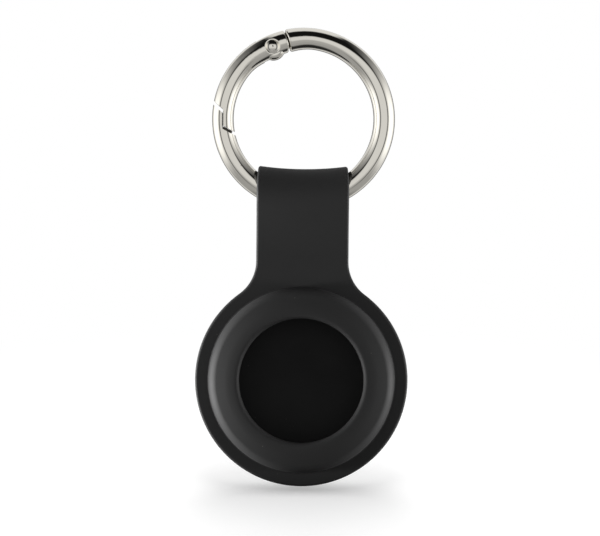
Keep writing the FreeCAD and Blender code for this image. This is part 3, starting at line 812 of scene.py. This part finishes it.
steel, tree, surface, place = new_finish("drawn_steel", metallic=1.0)
feed(tree, surface["Roughness"], use_group(tree, blotches, place, scale=900.0, low=0.24, high=0.42))
stain = use_group(tree, blotches, place, scale=450.0, low=0.0, high=0.6)
feed(tree, surface["Base Color"], blend_colour(tree, stain, CLEAN, STAINED))
drawn = use_group(tree, scratches, place, scale=5000.0, stretch=0.1)
feed(tree, surface["Normal"], bump(tree, drawn, distance=0.000005, strength=0.3))

# %% [markdown]
# The piece in the latch is painted shade: a dull dark brown, with a little change in its
# roughness. It is small and stands where the latch is in shade.

# %% Painted shade for the latch piece
latch_shade_finish, tree, surface, place = new_finish("dull_steel", base_color=(0.070, 0.063, 0.052, 1))
feed(tree, surface["Roughness"], use_group(tree, blotches, place, scale=900.0, low=0.7, high=0.9))

# %% [markdown]
# Now each piece gets its finish. The CAD pieces already have a material in their first place, and
# it is swapped. The new pieces have none of their own yet.

# %% Finishes on their pieces
for name, finish in (
    ("ring_frame", nickel), ("ring_gate", nickel), ("hinge_rivet", nickel),
    ("gate_plunger", steel), ("gate_spring", steel),
):
    frame["nodes"][name].data.materials[0] = finish
    print(name, "is", finish.name)
# The holder gets silicone, and the dark latch piece its finish of painted shade.
for piece, finish in ((holder, silicone), (shade_piece, latch_shade_finish)):
    piece.data.materials.clear()
    piece.data.materials.append(finish)
    print(piece.name, "is", finish.name)

# %% [markdown]
# The coil behind the plunger gets shorter as the gate opens. A stiff coil would run into the
# plunger, and shape keys would have to be set by hand. Here a copy of its solid stands for it: its
# points are welded, it is smooth shaded and tied to the gate, and the CAD coil is hidden.

coil = bpy.data.objects.new("closing_coil", frame["nodes"]["gate_spring"].data.copy())
bpy.context.collection.objects.link(coil)
to_edit(coil)
weld(CLOSE * MILLIMETRE)
print("open edges of the coil", open_edges(coil))
to_object()
bpy.ops.object.shade_smooth()
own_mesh(coil)
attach(coil, "gate")
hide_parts("gate_spring")

# %% [markdown]
# A bright product like this is shot in a light tent: a pale front panel that the camera looks
# through, bright sides, a white back, and an opening overhead. The ring mirrors all of that in
# bands. Real panels could be built round it, but they would also throw shadows, so the tent is
# drawn on the world, by direction. Each direction has a part across, in depth and in height,
# from -1 to 1, and lean says how far it leans to the back or the front when seen from the side.

# %% Directions in the tent
SMALL = 1e-4

world = bpy.data.worlds.new("light_tent")
bpy.context.scene.world = world
world.use_nodes = True
tent = world.node_tree
tent.nodes.clear()
way = add_node(tent, "ShaderNodeTexCoord").outputs["Generated"]
across, depth, height = add_node(tent, "ShaderNodeSeparateXYZ", vector=way).outputs
fore = number(tent, "MULTIPLY", depth, -1.0)
aside = number(tent, "ABSOLUTE", across)
lean = number(tent, "DIVIDE", depth, number(tent, "MAXIMUM", length(tent, depth, height), SMALL))
print("the world is", world.name)

# %% [markdown]
# The side walls are the brightest. A lamp outside each wall makes a broad glow that fades upwards
# and downwards in two steps, and a little to the middle. The table below sends some light back, and
# the white back is darker in its middle, where the object itself stands before it.

# %% Sides, table and back
SIDE_WALL, UNDER, OPEN_TOP, BACK_WALL, BACK_MIDDLE = 1.50, 0.40, 0.008, 0.85, 0.20
FADE_UP = (0.40, (0.95, 0.55), (0.60, 0.10))
FADE_DOWN = (0.45, (-1.0, -0.6), (-0.6, -0.2))
MIDDLE_SHARE, SIDE_EDGE = 0.55, (0.70, 0.92)
TABLE_EDGE, BACK_EDGE = (-0.3, -0.6), (0.30, 0.60)
MIDDLE_EDGE, MIDDLE_TOP = (0.62, 0.86), (0.40, 0.15)


def fade(value, share, far, near):
    """Two ramps on top of each other: the far one gives this share, and the near one the rest."""
    return number(
        tent, "ADD", product(tent, ramp(tent, value, *far), share),
        product(tent, ramp(tent, value, *near), 1 - share),
    )


breadth = layer(tent, MIDDLE_SHARE, 1.0, ramp(tent, aside, *SIDE_EDGE))
sky = product(tent, fade(height, *FADE_UP), fade(height, *FADE_DOWN), breadth, SIDE_WALL)
sky = number(tent, "MAXIMUM", sky, product(tent, ramp(tent, height, *TABLE_EDGE), UNDER))
sky = number(tent, "MAXIMUM", sky, OPEN_TOP)
sky = layer(tent, sky, BACK_WALL, ramp(tent, depth, *BACK_EDGE))
middle = product(tent, ramp(tent, depth, *MIDDLE_EDGE), ramp(tent, height, *MIDDLE_TOP))
sky = layer(tent, sky, BACK_MIDDLE, middle)
print("side walls", SIDE_WALL, "and back", BACK_WALL)

# %% [markdown]
# The front panel gives the ring its pale middle band, and the seam round the panel gives the two
# thin dark lines beside it. Overhead the tent is open, which is the black band along the top of the
# ring. Behind that opening, the back wall curves over, and leaves a pale edge above the band.

# %% Front panel and opening
FRONT_PANEL, LOWER_PANEL, FRONT_SEAM = 0.80, 0.46, 0.20
PANEL_FOOT, PANEL_EDGE = (-0.40, -0.12), (0.72, 0.78)
SEAM_OUTER, SEAM_INNER, SEAM_FOOT = (0.66, 0.72), (0.86, 0.80), (-0.58, -0.42)
CURVE_LEAN, CURVE_FOOT, CURVE_SIDE = (-0.28, 0.02), (0.5, 0.8), (0.45, 0.30)
TOP_FRONT, TOP_BACK, TOP_FOOT, TOP_SIDE = (-0.96, -0.88), (0.02, -0.33), (0.1, 0.3), (0.74, 0.42)

panel = layer(tent, LOWER_PANEL, FRONT_PANEL, ramp(tent, height, *PANEL_FOOT))
sky = layer(tent, sky, panel, ramp(tent, fore, *PANEL_EDGE))
seam = product(
    tent, ramp(tent, fore, *SEAM_OUTER), ramp(tent, fore, *SEAM_INNER), ramp(tent, height, *SEAM_FOOT),
)
sky = layer(tent, sky, FRONT_SEAM, seam)
curve = product(
    tent, ramp(tent, lean, *CURVE_LEAN), ramp(tent, height, *CURVE_FOOT), ramp(tent, aside, *CURVE_SIDE),
)
sky = layer(tent, sky, BACK_WALL, curve)
opening = product(
    tent, ramp(tent, lean, *TOP_FRONT), ramp(tent, lean, *TOP_BACK),
    ramp(tent, height, *TOP_FOOT), ramp(tent, aside, *TOP_SIDE),
)
sky = layer(tent, sky, OPEN_TOP, opening)
print("front panel", FRONT_PANEL, "and seam", FRONT_SEAM)

# %% [markdown]
# The backdrop of such a picture is plain white. More light on it would spill on the object, so only
# the camera sees the white, and the object goes on seeing the tent.

# %% White for the camera
to_camera = add_node(tent, "ShaderNodeLightPath").outputs["Is Camera Ray"]
sky = layer(tent, sky, 1.0, to_camera)
light = add_node(tent, "ShaderNodeBackground", color=(1, 1, 1, 1), strength=sky)
add_node(tent, "ShaderNodeOutputWorld", surface=light.outputs["Background"])
print("the tent has", len(tent.nodes), "nodes")

# %% [markdown]
# The floor is a round pale sheet just under the disc. A level floor would be seen edge on by a
# camera that looks straight at it, and show no shadow, so the sheet slopes up a little to the back.

# %% Floor
FLOOR_STEPS = 96
FLOOR_RADIUS = 0.16
FLOOR_CLEAR = 0.0006
FLOOR_SLOPE = math.radians(12)

bpy.ops.object.select_all(action="DESELECT")
bpy.ops.mesh.primitive_circle_add(
    vertices=FLOOR_STEPS, radius=FLOOR_RADIUS, fill_type="NGON",
    location=(0, 0, cad_box[0][2] - FLOOR_CLEAR), rotation=(FLOOR_SLOPE, 0, 0),
)
floor = bpy.context.object
floor.name = "floor"
print("the floor is", 2 * FLOOR_RADIUS, "m wide")

# %% [markdown]
# Near the object the sheet is paper that takes a shadow, and further out it fades into the white,
# so that it has no edge. To all but the camera it is clear, save for a dark spot under the object,
# which is painted shade: paper in a deep shade sends no light back up. From below it is clear too, so it
# hides nothing.

# %% Paper
PAPER, SHADE = (0.7, 0.7, 0.7, 1), (0.02, 0.02, 0.02, 1)
PAPER_GLOW = 0.36
PAPER_END = (0.06, 0.13)
SHADE_END = (0.02, 0.06)


def mix_shaders(tree, mask, first, second):
    """One shader where the mask is 0 and another where it is 1."""
    node = add_node(tree, "ShaderNodeMixShader", fac=mask)
    feed(tree, node.inputs[1], first.outputs[0])
    feed(tree, node.inputs[2], second.outputs[0])
    return node


paper = bpy.data.materials.new("floor_paper")
paper.use_nodes = True
tree = paper.node_tree
tree.nodes.clear()
matte = add_node(tree, "ShaderNodeBsdfDiffuse", color=PAPER)
glow = add_node(tree, "ShaderNodeEmission", strength=PAPER_GLOW)
lit = add_node(tree, "ShaderNodeAddShader")
feed(tree, lit.inputs[0], matte.outputs[0])
feed(tree, lit.inputs[1], glow.outputs[0])
white = add_node(tree, "ShaderNodeEmission", strength=1.0)
shade = add_node(tree, "ShaderNodeBsdfDiffuse", color=SHADE)
clear = add_node(tree, "ShaderNodeBsdfTransparent")

place = add_node(tree, "ShaderNodeTexCoord").outputs["Object"]
across, along, _ = add_node(tree, "ShaderNodeSeparateXYZ", vector=place).outputs
reach = length(tree, across, along)
sheet = mix_shaders(tree, ramp(tree, reach, *PAPER_END), lit, white)
# The dark spot is painted shade under the object, for all rays but the camera's.
spot = mix_shaders(tree, ramp(tree, reach, *SHADE_END), shade, clear)
to_camera = add_node(tree, "ShaderNodeLightPath").outputs["Is Camera Ray"]
from_below = add_node(tree, "ShaderNodeNewGeometry").outputs["Backfacing"]
topside = mix_shaders(tree, to_camera, spot, sheet)
whole = mix_shaders(tree, from_below, topside, clear)
add_node(tree, "ShaderNodeOutputMaterial", surface=whole.outputs[0])
floor.data.materials.append(paper)
print("the paper ends", PAPER_END[1], "m from the object")

# %% [markdown]
# A long soft lamp overhead, from front to back, draws the shadow under the disc. A round one would
# draw a round shadow, and the real one is wide and flat. The ring doesn't mirror it, because the
# tent already shows what is overhead.

# %% Overhead lamp
OVERHEAD_POWER = 2.55
OVERHEAD_SIZE = (0.2, 0.9)
OVERHEAD_HEIGHT = 0.45


def add_lamp(name, energy, size, **place):
    bpy.ops.object.light_add(type="AREA", **place)
    lamp = bpy.context.object
    lamp.name = name
    lamp.visible_camera = False
    lamp.data.shape = "RECTANGLE"
    lamp.data.size, lamp.data.size_y = size
    lamp.data.energy = energy
    print(name, "gives", energy, "W")
    return lamp


overhead = add_lamp("overhead_lamp", OVERHEAD_POWER, OVERHEAD_SIZE, location=(0, 0, OVERHEAD_HEIGHT))
overhead.visible_glossy = False

# %% [markdown]
# Two low strip lamps, left and right, draw the soft bright lines along the edges of the silicone.
# The left one is stronger, as in the picture. The ring would mirror them as hard white strips, so
# they are linked to the holder alone.

# %% Side lamps
SIDE_DISTANCE = 0.5
SIDE_HEIGHT = -0.105
STRIP = (0.08, 0.3)

lit_from_sides = bpy.data.collections.new("lit_from_sides")
lit_from_sides.objects.link(holder)
for name, side, energy in (("left_lamp", -1, 12.6), ("right_lamp", 1, 5.7)):
    lamp = add_lamp(
        name, energy, STRIP, location=(side * SIDE_DISTANCE, 0, SIDE_HEIGHT),
        rotation=(0, side * math.pi / 2, 0),
    )
    lamp.light_linking.receiver_collection = lit_from_sides

# %% [markdown]
# The picture is taken straight on, from a touch above, with a long lens, which keeps the ring round
# and the strap's sides parallel. Its width at the object and the point it aims at follow from
# the sizes of the ring and the flange in it. The camera was held a half degree off level.

# %% Camera
PICTURE_WIDTH = 0.11163
CAMERA_DISTANCE = 0.7
CAMERA_LIFT = math.radians(0.3)
CAMERA_ROLL = math.radians(0.5)
SENSOR_WIDTH = 36.0
NEAREST = 0.01
AIM = Vector((-0.00042, 0, -0.02770))

bpy.ops.object.camera_add()
camera = bpy.context.object
camera.data.sensor_width = SENSOR_WIDTH
camera.data.lens = SENSOR_WIDTH * CAMERA_DISTANCE / PICTURE_WIDTH
camera.data.clip_start = NEAREST
away = Vector((0, -math.cos(CAMERA_LIFT), math.sin(CAMERA_LIFT)))
camera.location = AIM + away * CAMERA_DISTANCE
roll = Matrix.Rotation(CAMERA_ROLL, 4, "Z").to_quaternion()
camera.rotation_euler = (away.to_track_quat("Z", "Y") @ roll).to_euler()
bpy.context.scene.camera = camera
bpy.context.scene.view_settings.view_transform = "Standard"
print("the lens is", round(camera.data.lens), "mm")

# %% [markdown]
# Dressing the model must not make it bigger. The box of the frame was measured at the start.

# %% Sizes
import json
